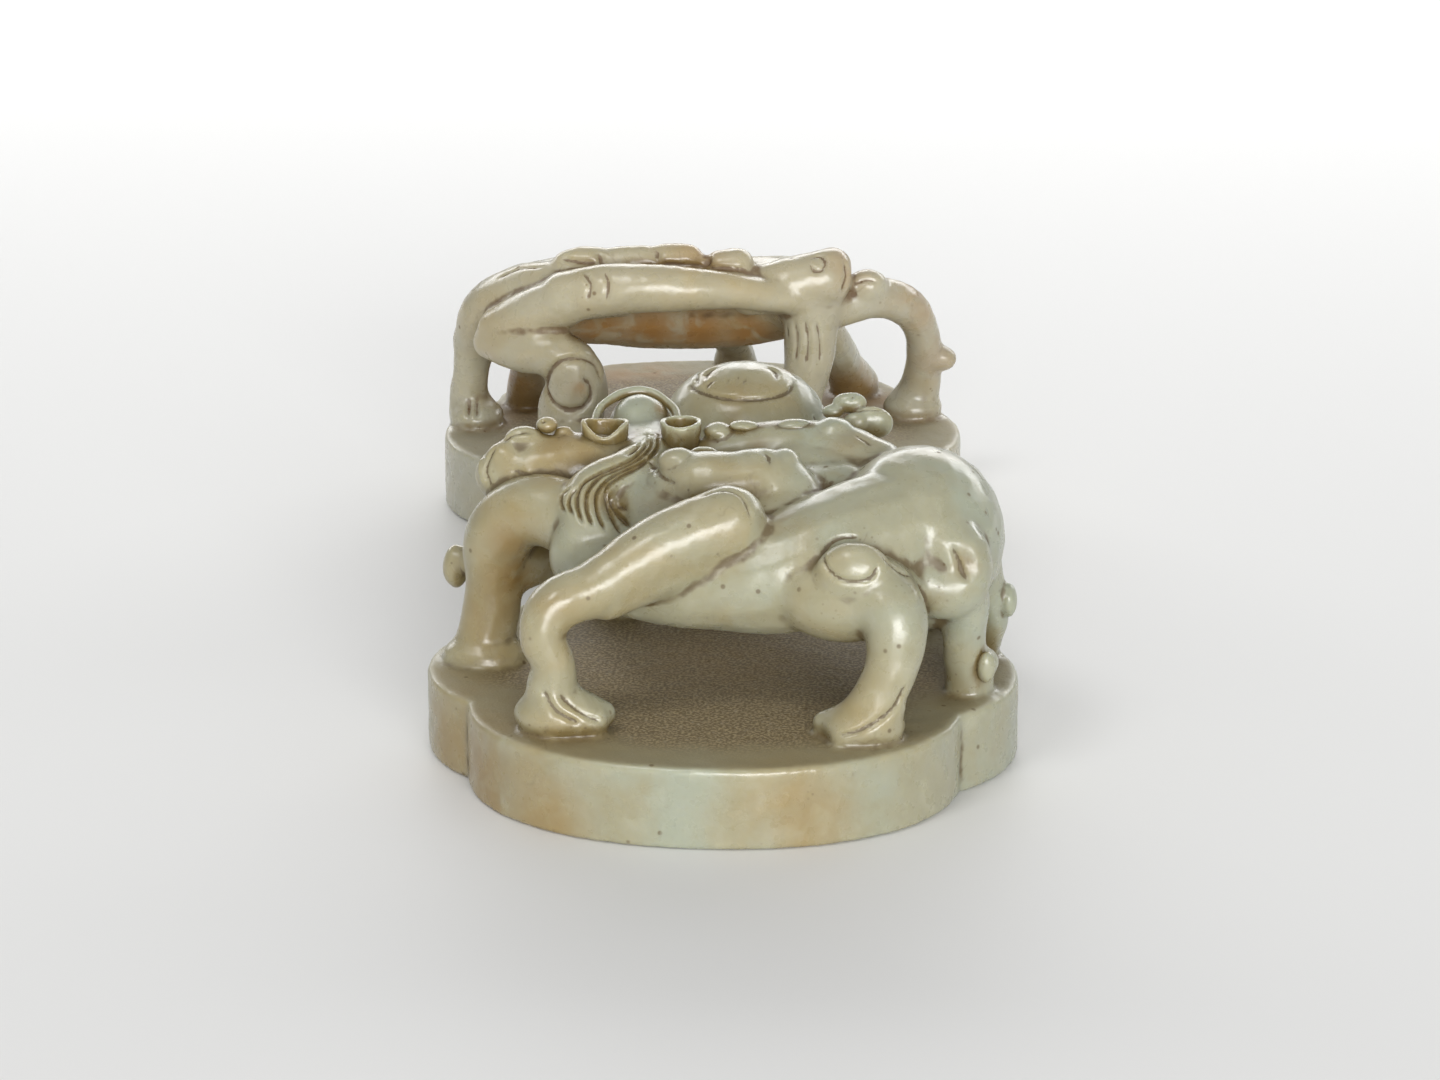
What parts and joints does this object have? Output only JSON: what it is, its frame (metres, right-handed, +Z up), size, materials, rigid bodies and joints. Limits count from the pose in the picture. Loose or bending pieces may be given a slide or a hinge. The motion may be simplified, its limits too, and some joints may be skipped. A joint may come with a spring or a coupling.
{
  "type": "jade belt buckle",
  "caption": "Carved jade belt buckle in hooked halves, each a lobed slab under an openwork crawling dragon.",
  "frame": {"origin": "centre of the bounding box at the level the halves rest on", "axes": "+X across the buckle, +Y along it from the hook half to the loop half, +Z up from the undersides"},
  "size_m": [0.057, 0.1162, 0.0275],
  "materials": {
    "hook_jade": "satin",
    "loop_jade": "satin"
  },
  "bodies": {
    "root": {"hook_plaque": "hook_jade", "loop_plaque": "loop_jade"}
  },
  "joints": []
}
